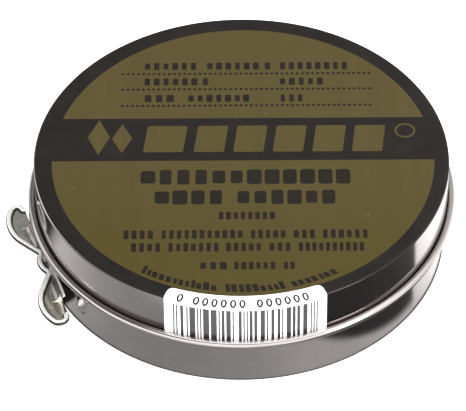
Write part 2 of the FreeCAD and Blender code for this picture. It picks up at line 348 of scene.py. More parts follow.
def finish_mesh(name, verts, faces, materials, indices, body, nodes, crease=38.0, matrix=None):
    """A named piece from millimetre points, with outward normals and creases where it turns sharply."""
    mesh = bpy.data.meshes.new(name)
    mesh.from_pydata([tuple(Vector(point) * MM) for point in verts], [], faces)
    for material in materials:
        mesh.materials.append(material)
    if indices is not None:
        mesh.polygons.foreach_set("material_index", indices)
    if matrix is not None:
        mesh.transform(matrix)
    tool = bmesh.new()
    tool.from_mesh(mesh)
    bmesh.ops.recalc_face_normals(tool, faces=tool.faces)
    tool.to_mesh(mesh)
    tool.free()
    mesh.shade_smooth()
    mesh.set_sharp_from_angle(angle=radians(crease))
    mesh.validate()
    piece = put(name, mesh)
    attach(piece, body)
    if nodes:
        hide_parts(*nodes)


def arc(x, z, radius, start, end, steps):
    """Points on an arc, from start to end in degrees."""
    turns = [radians(start + (end - start) * i / steps) for i in range(steps + 1)]
    return [(x + radius * cos(turn), z + radius * sin(turn)) for turn in turns]


def run(start, end, steps):
    """Evenly spaced points from start up to but not including end."""
    return [(start[0] + (end[0] - start[0]) * i / steps, start[1] + (end[1] - start[1]) * i / steps)
            for i in range(steps)]


def circle(count):
    """Points round a circle of radius 1."""
    return [(cos(2 * pi * i / count), sin(2 * pi * i / count)) for i in range(count)]


def polar(radius, angle, level):
    """The point at that distance from the Z axis."""
    return (radius * cos(angle), radius * sin(angle), level)


def closed(start, count):
    """The edges of a closed loop of count points numbered from start."""
    return [(start + i, start + (i + 1) % count) for i in range(count)]


def band(first, second, count):
    """Quads between two closed loops of count points, numbered from first and from second."""
    return [(a, b, b + second - first, a + second - first) for a, b in closed(first, count)]


def even_angles(count, *extra):
    """Angles all round in even steps, with the extra ones among them."""
    return sorted([2 * pi * i / count for i in range(count)] + [angle % (2 * pi) for angle in extra])


def lathe(section, angles, shift=None):
    """Turns (r, z, material) points about Z. A point on the axis becomes one vertex.

    Each run takes the material of its first point. shift(angle, r, z) gives an outward move in mm.
    """
    verts, rows = [], []
    for r, z, _ in section:
        if r == 0:
            rows.append([len(verts)] * len(angles))
            verts.append((0.0, 0.0, z))
            continue
        rows.append(range(len(verts), len(verts) + len(angles)))
        verts += [polar(r + (shift(angle, r, z) if shift else 0.0), angle, z) for angle in angles]
    faces, indices = [], []
    for first, second, (_, _, material) in zip(rows, rows[1:], section):
        for i in range(len(angles)):
            j = (i + 1) % len(angles)
            ring = [first[i], first[j], second[j], second[i]]
            faces.append([v for k, v in enumerate(ring) if v != ring[k - 1]])
            indices.append(material)
    return verts, faces, indices, rows


def tagged(points, material):
    """The points of a section with the number of their material."""
    return [(r, z, material) for r, z in points]


# ---------------- lid

BLACK, TIN, OLIVE, CREST = 0, 1, 2, 3
ROLL_STEPS, INKED_STEPS, CREST_STEPS = 14, 8, 4


def roll_tilt(step, edge):
    """Tilt in degrees of a ring on the shoulder, where the ink ends at the tilt edge."""
    if step < INKED_STEPS:
        return 90 - (90 - edge) * step / INKED_STEPS
    return edge * (ROLL_STEPS - step) / (ROLL_STEPS - INKED_STEPS)


def build_lid():
    """The sheet: over the shoulder, down the skirt, round the curl and back up inside."""
    inner = lid_radius - GAUGE
    roll_radius, roll_level = lid_radius - SHOULDER, lid_top - SHOULDER
    steps = [asin((level - PRINT_SHIFT[1]) / OLIVE_RADIUS) for level in (BAND_LOW, BAND_HIGH)]
    crossings = [side + PRINT_TURN for step in steps for side in (step, pi - step)]
    angles = even_angles(420, *crossings)
    flat = run((OLIVE_RADIUS, lid_top), (roll_radius, lid_top), 3)
    roll = arc(roll_radius, roll_level, SHOULDER, 90, 0, ROLL_STEPS)[:-1]
    skirt = run((lid_radius, roll_level), (lid_radius, curl_level), 8)
    curl_in = arc(curl_centre, curl_level, CURL_INSIDE, 180, 480, 30)
    curl_out = arc(curl_centre, curl_level, CURL_OUTSIDE, 480, 180, 36)
    back = run((inner, curl_level), (inner, roll_level), 6)[1:]
    back += arc(roll_radius, roll_level, SHOULDER - GAUGE, 0, 90, 6)
    back += [(20.0, lid_top - GAUGE), (0, lid_top - GAUGE)]
    section = tagged(flat + roll[:INKED_STEPS], BLACK) + tagged(roll[INKED_STEPS:] + skirt + curl_in, TIN)
    section += tagged(curl_out[:CREST_STEPS], CREST) + tagged(curl_out[CREST_STEPS:] + back, TIN)
    verts, faces, indices, rows = lathe(section, angles)

    # the print sits a little off the lid's centre, so the ink's edge wanders on the shoulder
    ring = rows[0]
    for i in ring:
        verts[i] = (verts[i][0] + PRINT_SHIFT[0], verts[i][1] + PRINT_SHIFT[1], verts[i][2])
    for column, angle in enumerate(angles):
        outward = PRINT_SHIFT[0] * cos(angle) + PRINT_SHIFT[1] * sin(angle)
        edge = min(max(PRINT_EDGE - degrees(outward / SHOULDER), PRINT_EDGE_LOW), PRINT_EDGE_HIGH)
        for step in range(ROLL_STEPS):
            tilt = radians(roll_tilt(step, edge))
            place = polar(roll_radius + SHOULDER * cos(tilt), angle, roll_level + SHOULDER * sin(tilt))
            verts[rows[len(flat) + step][column]] = place

    # the flat top: the band and the olive on both sides of it
    low_right, low_left, high_right, high_left = (
        min(range(len(angles)), key=lambda i: abs(angles[i] - cross % (2 * pi))) for cross in crossings)

    def along(start, end):
        last = end if end > start else end + len(angles)
        return [ring[i % len(angles)] for i in range(start, last + 1)]

    faces += [along(high_right, high_left), along(low_right, high_right) + along(high_left, low_left),
              along(low_left, low_right)]
    indices += [OLIVE, BLACK, OLIVE]
    finish_mesh("lid_shell", verts, faces, [MAT_BLACK, MAT_TIN, MAT_OLIVE, MAT_CREST], indices,
                "lid", ["lid_shell"])


# ---------------- print on the lid

class Marks:
    """Thin raised marks on the lid's flat top, gathered into one mesh."""

    def __init__(self):
        self.verts, self.faces, self.indices = [], [], []

    def add(self, outline, material, hole=None):
        """A prism over the outline. With a hole, outline and hole have the same number of points."""
        count, start, before = len(outline), len(self.verts), len(self.faces)
        for loop in (outline, hole) if hole else (outline,):
            self.faces += band(len(self.verts), len(self.verts) + count, count)
            for level in (lid_top, lid_top + INK):
                self.verts += [(x * cos(PRINT_TURN) - y * sin(PRINT_TURN),
                                x * sin(PRINT_TURN) + y * cos(PRINT_TURN), level) for x, y in loop]
        for low in (start, start + count):
            self.faces += band(low, low + 2 * count, count) if hole else [tuple(range(low, low + count))]
        self.indices += [material] * (len(self.faces) - before)

    def block(self, x, y, width, height, material, round_by=0.25, lean=0.0):
        """A rounded block centred on x, y. lean slides its top edge sideways."""
        radius = min(width, height) * round_by
        outline = []
        for corner, (sx, sy) in enumerate(((1, 1), (-1, 1), (-1, -1), (1, -1))):
            turn = arc(sx * (width / 2 - radius), sy * (height / 2 - radius), radius, 90 * corner,
                       90 * corner + 90, 3)
            outline += [(x + across + lean * up / height, y + up) for across, up in turn]
        self.add(outline, material)

    def ring(self, x, y, outer, inner, material):
        loops = [[(x + r * side, y + r * up) for side, up in circle(40)] for r in (outer, inner)]
        self.add(loops[0], material, hole=loops[1])


def build_print():
    """What is printed on the lid, as plain marks. There are no letters."""
    marks = Marks()
    draw = random.Random(11)

    # dotted rules
    for level in (25.2, 20.45, 15.45):
        for i in range(49):
            marks.block(-24.7 + i * 1.073, level, 0.64, 0.64, BLACK, 0.45)

    # plain blocks where a lid would carry words: (middle, height, solid part, [(start, pitch, count), ...])
    rows = [
        (27.55, 2.15, 0.60, [(-20.6, 1.93, 6), (-7.5, 1.93, 6), (4.6, 1.9, 1), (7.8, 1.85, 8)]),
        (22.75, 2.15, 0.60, [(-20.6, 1.97, 6), (-8.4, 1.9, 1), (7.7, 1.95, 5)]),
        (17.65, 2.15, 0.60, [(-20.5, 2.3, 3), (-11.4, 1.93, 6), (0.1, 1.9, 1), (7.8, 1.8, 3)]),
        (-5.85, 4.25, 0.78, [(-20.8, 3.61, 12)]),
        (-11.75, 4.05, 0.78, [(-17.9, 3.65, 4), (-1.3, 3.45, 6)]),
        (-17.05, 2.15, 0.66, [(-4.8, 1.47, 8)]),
        (-22.35, 2.40, 0.60, [(-23.9, 1.62, 4), (-16.3, 1.53, 11), (1.6, 1.5, 5), (10.2, 1.6, 3),
                              (16.0, 1.6, 6)]),
        (-25.95, 2.40, 0.60, [(-22.3, 1.6, 4), (-14.9, 1.52, 7), (-3.3, 1.5, 5), (5.3, 1.6, 3),
                              (11.2, 1.35, 10)]),
        (-31.15, 2.00, 0.66, [(-8.6, 2.0, 3), (-1.7, 1.45, 6), (8.2, 1.3, 2)]),
    ]
    for level, height, solid, words in rows:
        for start, pitch, count in words:
            for i in range(count):
                width = pitch * solid * draw.uniform(0.82, 1.12)
                tall = height * draw.choice((1, 1, 1, 0.86))
                marks.block(start + pitch * (i + 0.5), level, width, tall, BLACK, 0.2)

    # the row that follows the edge of the print
    foot, middle, slant, gap = 38.45, 38.0, 0.3, 0.42
    angle = -120.6
    while angle < -59.0:
        width = draw.uniform(0.75, 1.15)
        tall = draw.choice((1.5, 1.5, 2.1))
        turn = radians(angle)
        outline = []
        for side, up in ((-0.5, 0), (0.5, 0), (0.5, 1), (-0.5, 1)):
            along, out = side * width - slant * up, foot - up * tall
            outline.append((out * cos(turn) - along * sin(turn), out * sin(turn) + along * cos(turn)))
        if draw.random() > 0.11:
            marks.add(outline, BLACK)
        angle += degrees((width + gap) / middle)

    # in the band: two plain lozenges, a row of wide blocks and a small ring
    for x, y, wide, tall in ((-29.3, 6.0, 4.6, 10.4), (-24.5, 5.6, 4.2, 8.6)):
        marks.add([(x + wide / 2, y), (x, y + tall / 2), (x - wide / 2, y), (x, y - tall / 2)], OLIVE)
    for x, wide in ((-15.6, 8.2), (-6.2, 6.2), (1.9, 6.2), (10.0, 6.2), (18.1, 6.2), (26.2, 6.2)):
        marks.block(x, 5.4, wide, 7.8, OLIVE, 0.06, lean=0.9)
    marks.ring(33.75, 7.6, 2.15, 1.72, OLIVE)

    # small knocks that show the bare metal
    for x, y, size in ((5.0, 12.95, 0.34), (-34.1, -8.9, 0.42), (25.5, -17.3, 0.36)):
        marks.block(x, y, size, size * 0.8, TIN, 0.4, lean=0.1)

    finish_mesh("lid_print", marks.verts, marks.faces, [MAT_TYPE, MAT_TIN, MAT_OLIVE], marks.indices,
                "lid", (), crease=30)


# ---------------- label

def label_path():
    """Points (r, z) of the label's outer face, from its upper end over the shoulder and down the skirt."""
    flat, face = lid_radius - SHOULDER, lid_radius + LABEL_GAUGE
    path = run((LABEL_INNER, lid_top + LABEL_GAUGE), (flat, lid_top + LABEL_GAUGE), 10)
    path += arc(flat, lid_top - SHOULDER, SHOULDER + LABEL_GAUGE, 90, 0, 10)[:-1]
    path += run((face, lid_top - SHOULDER), (face, label_low.z), 24)
    return np.array(path + [(face, label_low.z)])


PATH = label_path()
PATH_AT = np.append(0.0, np.cumsum(np.linalg.norm(np.diff(PATH, axis=0), axis=1)))


def on_label(distance, angle, lift):
    """The point on the label's outer face at that distance down it, lift mm above the face."""
    places = max(distance - 0.05, 0), distance, min(distance + 0.05, PATH_AT[-1])
    before, (r, z), after = (np.array([np.interp(at, PATH_AT, side) for side in PATH.T]) for at in places)
    dr, dz = (after - before) / hypot(*(after - before))
    return polar(r - dz * lift, angle, z + dr * lift)


def wrap(rows, lift, thick, columns):
    """A closed skin of that thickness over (distance, start angle, end angle) rows, lift above the face."""
    wide, size = columns + 1, len(rows) * (columns + 1)
    verts = [on_label(distance, start + (end - start) * i / columns, level)
             for level in (lift + thick, lift) for distance, start, end in rows for i in range(wide)]
    corners = [offset + row * wide + i for offset in (0, size) for row in range(len(rows) - 1)
               for i in range(columns)]
    faces = [(a, a + 1, a + 1 + wide, a + wide) for a in corners]
    border = list(range(wide)) + [row * wide + columns for row in range(1, len(rows))]
    border += [(len(rows) - 1) * wide + i for i in reversed(range(columns))]
    border += [row * wide for row in reversed(range(1, len(rows) - 1))]
    faces += [(a, b, b + size, a + size) for a, b in zip(border, border[1:] + border[:1])]
    return verts, faces


def build_label():
    """The sticker, with rounded upper corners."""
    rows = []
    fine = [LABEL_CORNER * (1 - cos(radians(15 * i))) for i in range(6)]
    for distance in fine + [at for at in PATH_AT if at > LABEL_CORNER]:
        inset = LABEL_CORNER - sqrt(LABEL_CORNER ** 2 - max(LABEL_CORNER - distance, 0) ** 2)
        turn = inset / lid_radius
        rows.append((distance, LABEL_START + turn, LABEL_END - turn))
    verts, faces = wrap(rows, -LABEL_GAUGE, LABEL_GAUGE, 80)
    finish_mesh("barcode_label", verts, faces, [MAT_PAPER], None, "lid", ["barcode_label"],
                crease=50)


def build_bars():
    """Bars of a made-up number, and plain rings in place of its figures."""
    # bar and gap widths of the figures from 0 to 9
    widths = ((3, 2, 1, 1), (2, 2, 2, 1), (2, 1, 2, 2), (1, 4, 1, 1), (1, 1, 3, 2),
              (1, 2, 3, 1), (1, 1, 1, 4), (1, 3, 1, 2), (1, 2, 1, 3), (3, 1, 1, 2))
    modules = [1, 1, 1]
    for figures, divider in (((1, 3, 6, 3, 8, 4), (1, 1, 1, 1, 1)), ((2, 9, 1, 5, 2, 0), (1, 1, 1))):
        for figure in figures:
            modules += widths[figure]
        modules += divider
    step = (BARS_END - BARS_START) / sum(modules)
    trim = 0.02 * step
    verts, faces = [], []
    downs = np.linspace(np.interp(-BAR_TOP, -PATH[:, 1], PATH_AT), PATH_AT[-1], 12)
    at = BARS_START
    for place, width in enumerate(modules):
        if place % 2 == 0:
            rows = [(down, at + trim, at + width * step - trim) for down in downs]
            bar_verts, bar_faces = wrap(rows, 0.0, INK, 2)
            faces += [tuple(len(verts) + i for i in face) for face in bar_faces]
            verts += bar_verts
        at += width * step

    # one ring, then two groups of six. Each one's loops run up the outside, over the top and down inside
    count, steps = 48, 5
    section = [(0.0, 0.0)] + [(FIGURE_STROKE * i / (steps - 1), FIGURE_LIFT) for i in range(steps)]
    section += [(FIGURE_STROKE, 0.0)]
    for turn in [252.9] + [start + 2.52 * i for start in (257.4, 274.7) for i in range(6)]:
        loops = []
        for inset, level in section:
            loops.append(len(verts))
            verts += [on_label(FIGURE_MIDDLE + (FIGURE_TALL / 2 - inset) * up,
                               radians(turn) + (FIGURE_WIDE / 2 - inset) * side / lid_radius, level)
                      for side, up in circle(count)]
        for a, b in zip(loops, loops[1:] + loops[:1]):
            faces += band(a, b, count)
    finish_mesh("label_marks", verts, faces, [MAT_TONER], None, "lid", (), crease=50)


# ---------------- base

def turn_from(centre, angle):
    """The turn from centre to angle, between minus pi and pi."""
    return (angle - centre + pi) % (2 * pi) - pi


def build_base():
    """The sheet: under the floor, up the wall, over the bead and back down inside."""
    dimple_at = rivet_azimuth + DIMPLE_TURN
    spread = 2.4 / base_radius
    wall_in = base_radius - GAUGE
    near = [dimple_at - spread + 2 * spread * i / 32 for i in range(33)]
    rest = [angle for angle in even_angles(420) if abs(turn_from(dimple_at, angle)) > spread + 0.004]
    angles = sorted(rest + [angle % (2 * pi) for angle in near])

    def bulge(angle, r, z):
        """The dimple, which both faces of the wall share."""
        across = turn_from(dimple_at, angle) * base_radius / DIMPLE_HALF_WIDE
        away = hypot(across, (z - DIMPLE_LEVEL) / DIMPLE_HALF_TALL)
        return DIMPLE_RISE * max(1 - away ** 2, 0.0) ** 2 if r > wall_in - 0.01 else 0.0

    rim = base_rim - BEAD
    levels = [CORNER, 2.0, 2.8, 3.4] + [4.0 + 0.17 * i for i in range(33)] + [10.0, 11.5, 13.0, 15.0, 17.0]
    hump = [(FOOT - FOOT_HALF + 2 * FOOT_HALF * i / 12, FOOT_RISE * sin(pi * i / 12) ** 2)
            for i in range(1, 12)]
    under = [(0, 0), (20, 0), (FOOT - FOOT_HALF, 0)] + hump + [(FOOT + FOOT_HALF, 0)]
    section = under + arc(base_radius - CORNER, CORNER, CORNER, -90, 0, 10)[:-1]
    section += [(base_radius, level) for level in levels]
    section += arc(base_radius - BEAD, rim, BEAD, 0, 180, 14)
    section += arc(base_radius - BEAD, rim, BEAD, 180, 245, 4)[1:] + [(wall_in, rim - BEAD * 1.05)]
    section += [(wall_in, level) for level in reversed(levels)]
    section += arc(base_radius - CORNER, CORNER, CORNER - GAUGE, 0, -90, 8)[1:]
    section += [(r, z + GAUGE) for r, z in reversed(under)]
    verts, faces, indices, _ = lathe(tagged(section, 0), angles, bulge)
    finish_mesh("base_shell", verts, faces, [MAT_BASE], indices, "base", ["base_shell"])


def build_wax():
    """A cast cake with a meniscus at the wall and a slight hollow in the middle."""
    edge, heel = base_radius - GAUGE - 0.03, 1.2
    foot = GAUGE + FOOT_RISE + 0.05
    section = [(0, foot), (edge - heel, foot)]
    section += arc(edge - heel, foot + heel, heel, -90, 0, 5)[1:]
    section += run((edge, foot + heel), (edge, wax_top), 4)[1:]
    section += [(edge - back, wax_top + rise) for back, rise in
                ((0, 0.25), (0.12, 0.1), (0.45, -0.1), (1.1, -0.22), (2.4, -0.22), (4.5, -0.12))]
    section += [(r, wax_top - 0.12 * (r / 37.0) ** 2 - 0.35 * exp(-(r / 5.0) ** 2))
                for r in (32, 26, 20, 15, 11, 8, 5.5, 3.5, 1.8)]
    section += [(0, wax_top - 0.35)]
    verts, faces, indices, _ = lathe(tagged(section, 0), even_angles(180))
    finish_mesh("polish_cake", verts, faces, [MAT_WAX], indices, "base", ["polish_cake"])


# ---------------- rivet and key

# from the key's frame (along the wall, outwards, up) in metres to the part's frame
KEY_PLACE = Matrix.Translation((0, 0, pivot.z * MM)) @ Matrix.Rotation(rivet_azimuth - pi / 2, 4, "Z")


def build_rivet():
    """Its section runs along its own axis, from the tail inside the wall out to the head."""
    head, shank, play, edge = 1.45, 0.9, 0.05, 0.1
    back = base_radius - GAUGE - play
    under = TAB_FACE + play
    section = [(0, back - 0.5)] + arc(head - 0.15, back - 0.35, 0.15, -90, 0, 4)
    section += [(head, back - 0.12), (head - edge, back), (shank, back), (shank, under)]
    section += [(head - edge, under), (head, under + edge)]
    section += [(head * cos(radians(a)), under + 0.12 + 0.28 * sin(radians(a))) for a in range(8, 84, 8)]
    section += [(0, under + 0.4)]
    verts, faces, indices, _ = lathe(tagged(section, 0), even_angles(64))
    finish_mesh("key_rivet", verts, faces, [MAT_RIVET], indices, "base", ["key_rivet"],
                matrix=KEY_PLACE @ Matrix.Rotation(-pi / 2, 4, "X"))


def bend_between(start, end, bend, spacing):
    """Points from start up to end, along an arc of radius bend that turns left or straight if bend is 0."""
    a, b = np.array(start, float), np.array(end, float)
    side = b - a
    chord = hypot(*side)
    if not bend:
        return run(start, end, max(2, int(chord / spacing)))
    centre = (a + b) / 2 + np.array([-side[1], side[0]]) / chord * sqrt(bend ** 2 - (chord / 2) ** 2)
    half, first = asin(chord / 2 / bend), atan2(*(a - centre)[::-1])
    steps = max(4, int(2 * half * bend / spacing))
    return arc(*centre, bend, degrees(first), degrees(first + 2 * half), steps)[:-1]


def distance_to(points, line):
    """Shortest distance from each point to an open polyline."""
    points, line = np.array(points, float), np.array(line, float)
    offset, sides = points[:, None, :] - line[:-1], np.diff(line, axis=0)
    along = np.clip((offset * sides).sum(2) / np.maximum((sides ** 2).sum(1), 1e-12), 0, 1)
    return np.linalg.norm(offset - along[..., None] * sides, axis=2).min(1)


def inside(points, loop):
    """Which points lie inside a closed outline."""
    points, loop = np.array(points, float), np.array(loop, float)
    x, y = points[:, 0:1], points[:, 1:2]
    x0, y0 = loop[:, 0], loop[:, 1]
    x1, y1 = np.roll(x0, -1), np.roll(y0, -1)
    rise = np.where(y1 == y0, 1e-12, y1 - y0)
    crosses = ((y0 > y) != (y1 > y)) & (x < (x1 - x0) * (y - y0) / rise + x0)
    return crosses.sum(1) % 2 == 1


# the wings' sheet, by depth behind the edge of the hem: a dark outline in painted shade, the hem in a
# lighter copy of the nickel as a painted highlight, a crease in painted shade, and the dish
HEM, HEM_CREST, HEM_EDGE = 0.56, 0.58, 0.06
HEM_SHADE, CREASE_START, CREASE_END = 0.186, 1.03, 1.43
DISH_LEVEL, DISH_DEEP, SHEET_UNDER = -0.16, 0.24, -0.6
BEND_WAIST, BEND_END, FLAT_ROW = 0.55, 1.6, 1.15
TURN_UP_START, TURN_UP_END = 0.02, 0.2

# the tab: half lengths at its lower and upper edge
TAB_HALF_LOW, TAB_HIGH_FAR, TAB_HIGH_NEAR = 11.0, 11.6, 13.9
TAB_TOP, TAB_CORNER, TAB_SOFT, TAB_END = 1.8, 0.35, 0.13, 0.4
RIVET_HOLE = 0.95

# kinds of face: BRIGHT is the painted highlight, DARK the painted shade, FLAT the tab's darker copy (painted
# shade)
BRIGHT, DISH, DARK, FLAT = 0, 1, 2, 3


def wing_outline():
    """The outline of both wings, anticlockwise from the far heel, and the part of it that is hemmed.

    A corner is (x, y, bend of the line that leaves it).
    """
    heel, near_heel = (16.6, -TAB_GAUGE, 1.7), (-16.0, -TAB_GAUGE, 0)
    far = [(18.2, 1.1, 2.4), (16.9, 3.1, 9.4), (7.5, 3.55, 0), (2.8, 0.62, 5.0)]
    near = [(-3.0, 0.62, 0), (-7.7, 3.6, 9.4), (-17.2, 3.2, 2.3), (-17.8, 1.5, 1.9)]
    corners = [heel] + far + near + [near_heel]
    hem = []
    for corner, following in zip(corners, corners[1:]):
        hem += bend_between(corner[:2], following[:2], corner[2], 0.2)
    hem.append(near_heel[:2])
    back = bend_between(near_heel[:2], heel[:2], 0, 0.3)[1:]
    return hem + back, hem


def key_wings():
    """Both wings and the waist between them: a dished plate inside a rolled hem, turned up into the tab."""
    loop, hem = wing_outline()
    line = np.array(hem)
    ahead = np.gradient(line, axis=0)
    inward = np.stack([-ahead[:, 1], ahead[:, 0]], 1) / np.linalg.norm(ahead, axis=1)[:, None]

    # rings of points over the round of the hem and in the crease, then two grids on the plate
    tilts = (14, 30, 48, 60, 74, 90, 108, 124, 138, 150, 162, 174)
    depths = [HEM * (1 - cos(radians(tilt))) for tilt in tilts] + [1.17, 1.27, 1.42]
    round_end = np.array(circle(48))
    extra = []
    for depth in depths:
        ring = np.concatenate([line + inward * depth] + [end + round_end * depth for end in line[[0, -1]]])
        keep = inside(ring, loop) & (distance_to(ring, hem) > depth - 0.012)
        extra += [tuple(point) for point in ring[keep]]
    plate = [(x, y) for x in np.arange(-TAB_HALF_LOW - 0.1, TAB_HALF_LOW + 0.2, 0.2)
             for y in (-0.2, 0.0, 0.04, 0.1, 0.2, 0.33, 0.5, 0.7, 0.92, FLAT_ROW, 1.4, 1.65)]
    plate += [(side * (TAB_HALF_LOW + over), y) for side in (-1, 1)
              for over in (TURN_UP_START, TURN_UP_END + 0.02) for y in np.arange(-0.3, 1.65, 0.1)]
    plate += [(x, y) for x in np.arange(-18, 18.01, 0.3) for y in np.arange(-0.2, 6, 0.3)
              if y > BEND_END + 0.1 or abs(x) > TAB_HALF_LOW + 0.3]
    keep = inside(plate, loop) & (distance_to(plate, loop + loop[:1]) > 0.05)
    keep &= distance_to(plate, hem) > 1.5
    extra += [point for point, kept in zip(plate, keep) if kept]
    points, _, triangles, *_ = delaunay_2d_cdt([Vector(point) for point in loop + extra],
                                               closed(0, len(loop)), [], 1, 1e-6)
    points = np.array([tuple(point) for point in points])

    # heights of the upper and the lower face: the round hem, the dish, and the bend up into the tab
    x, y = points[:, 0], points[:, 1]
    depth = distance_to(points, hem)
    across = np.clip((depth - HEM) / HEM, -1, 1)
    roll = np.maximum(HEM_CREST * np.sqrt(1 - across ** 2), HEM_EDGE)
    deep = np.clip((depth - 2 * HEM) / 0.9, 0, 1)
    ripple = 0.035 * np.sin(1.9 * x + 1.3 * y) * np.sin(2.6 * y - 0.8 * x) * deep
    dish = DISH_LEVEL - DISH_DEEP * deep ** 2 * (3 - 2 * deep) + ripple
    top = np.where(depth > HEM, np.maximum(np.where(across < 1, roll, -9), dish), roll)
    under = np.where(depth > HEM, np.minimum(-roll, SHEET_UNDER), -roll)
    bend = BEND_WAIST + (BEND_END - BEND_WAIST) * np.clip((np.abs(x) - 3) / 6, 0, 1)
    rise = bend - np.sqrt(np.maximum(bend ** 2 - np.clip(bend - y, 0, bend) ** 2, 0))
    rise *= np.clip((TAB_HALF_LOW + TURN_UP_END - np.abs(x)) / (TURN_UP_END - TURN_UP_START), 0, 1)
    top = np.maximum(top, DISH_LEVEL + rise)

    size = len(points)
    verts = [(*point, z) for level in (top, under) for point, z in zip(points, level)]
    faces, kinds = [], []
    # the hem's round and the ends of the bend up into the tab take the painted highlight; the outline and
    # the crease take painted shade, and the strip before the tab the tab's darker copy, also painted shade.
    # Underneath, the hem and all the sheet's cut edges are in painted shade.
    for t in triangles:
        corner = list(t)
        middle = depth[corner].mean()
        along, out = abs(x[corner].mean()), y[corner].mean()
        end = TAB_HALF_LOW < along < TAB_HALF_LOW + TURN_UP_END + 0.03 and out < BEND_END
        if end or HEM_SHADE < middle < CREASE_START:
            kind = BRIGHT
        elif middle < CREASE_END:
            kind = DARK
        else:
            kind = FLAT if out < FLAT_ROW and along < TAB_HALF_LOW else DISH
        faces += [tuple(t), tuple(size + i for i in reversed(t))]
        kinds += [kind, DARK if middle < HEM else DISH]
    sides = dict.fromkeys(side for t in triangles for side in zip(t, t[1:] + t[:1]))
    faces += [(b, a, a + size, b + size) for a, b in sides if (b, a) not in sides]
    kinds += [DARK] * (len(faces) - len(kinds))
    return verts, faces, kinds


def key_tab():
    """The flat tab on the wall, with a soft edge and the hole for the rivet."""
    outline = []
    for x, z, start, end in ((TAB_HIGH_FAR, TAB_TOP, 100, 0), (TAB_HALF_LOW, -BLADE_DROP, -30, -90),
                             (-TAB_HALF_LOW, -BLADE_DROP, -90, -150), (-TAB_HIGH_NEAR, TAB_TOP, 180, 80)):
        outline += arc(x - copysign(TAB_CORNER, x), z - copysign(TAB_CORNER, z), TAB_CORNER, start, end, 4)
    hole = [(RIVET_HOLE * x, RIVET_HOLE * z) for x, z in circle(40)]
    verts, faces, starts = [], [], []
    for shape, way in ((outline, -1), (hole, 1)):
        for tilt in range(-90, 91, 30):
            inset = TAB_SOFT * (1 - cos(radians(tilt)))
            y = (TAB_SOFT - TAB_GAUGE if tilt < 0 else -TAB_SOFT) + TAB_SOFT * sin(radians(tilt))
            starts.append(len(verts))
            for x, z in shape:
                share = 1 + way * inset / hypot(x, z)
                verts.append((x * share, y, z * share))
            if tilt > -90:
                faces += band(starts[-2], starts[-1], len(shape))
    for outer, inner in ((starts[0], starts[7]), (starts[6], starts[13])):
        numbers = [*range(outer, outer + len(outline)), *range(inner, inner + len(hole))]
        edges = closed(0, len(outline)) + closed(len(outline), len(hole))
        points, _, triangles, origin, *_ = delaunay_2d_cdt([Vector(verts[i][::2]) for i in numbers],
                                                           edges, [], 2, 1e-6)
        for t in triangles:
            middle = sum((points[i] for i in t), Vector((0, 0))) / 3
            if middle.length > RIVET_HOLE - 0.05:
                faces.append(tuple(numbers[origin[i][0]] for i in t))
    # the tab's end faces take the lighter copy as a painted highlight; the rest takes the darker copy,
    # painted shade
    ends = [len(face) == 4 and min(abs(verts[i][0]) for i in face) > TAB_HALF_LOW - TAB_END
            for face in faces]
    return verts, faces, [BRIGHT if end else FLAT for end in ends]


def build_key():
    """The wings and the tab as one piece."""
    verts, faces, kinds = key_wings()
    tab_verts, tab_faces, tab_kinds = key_tab()
    faces += [tuple(len(verts) + i for i in face) for face in tab_faces]
    verts = [(x, y, z - BLADE_DROP) for x, y, z in verts] + tab_verts
    finish_mesh("butterfly_key", [(x, TAB_FACE + y, z) for x, y, z in verts], faces,
                [MAT_HEM, MAT_DISH, MAT_KEY_SHADE, MAT_TAB], kinds + tab_kinds, "key", ["butterfly_key"],
                crease=42, matrix=KEY_PLACE)


build_lid()
build_print()
build_label()
build_bars()
build_base()
build_wax()
build_rivet()
build_key()


# ---------------- floor, light and camera

def plane(name, size, level, material):
    """A level square of the stage."""
    mesh = bpy.data.meshes.new(name)
    corners = [(side * size / 2, up * size / 2, level) for side, up in ((-1, -1), (1, -1), (1, 1), (-1, 1))]
    mesh.from_pydata(corners, [], [(0, 1, 2, 3)])
    mesh.materials.append(material)
    piece = put(name, mesh)
    return piece


floor_look = Shader("floor_paper", Roughness=0.9, Specular_IOR_Level=0.2, Emission_Color=(1.0, 1.0, 1.0),
                    Emission_Strength=0.5)
floor_tone = floor_look.blend(floor_look.noise(9, 2), (0.93, 0.93, 0.93), (0.91, 0.91, 0.91))
floor_look.give(floor_look.bsdf, Base_Color=floor_tone)
floor = plane("floor", 8.0, 0.0, floor_look.material)
floor.visible_glossy = False


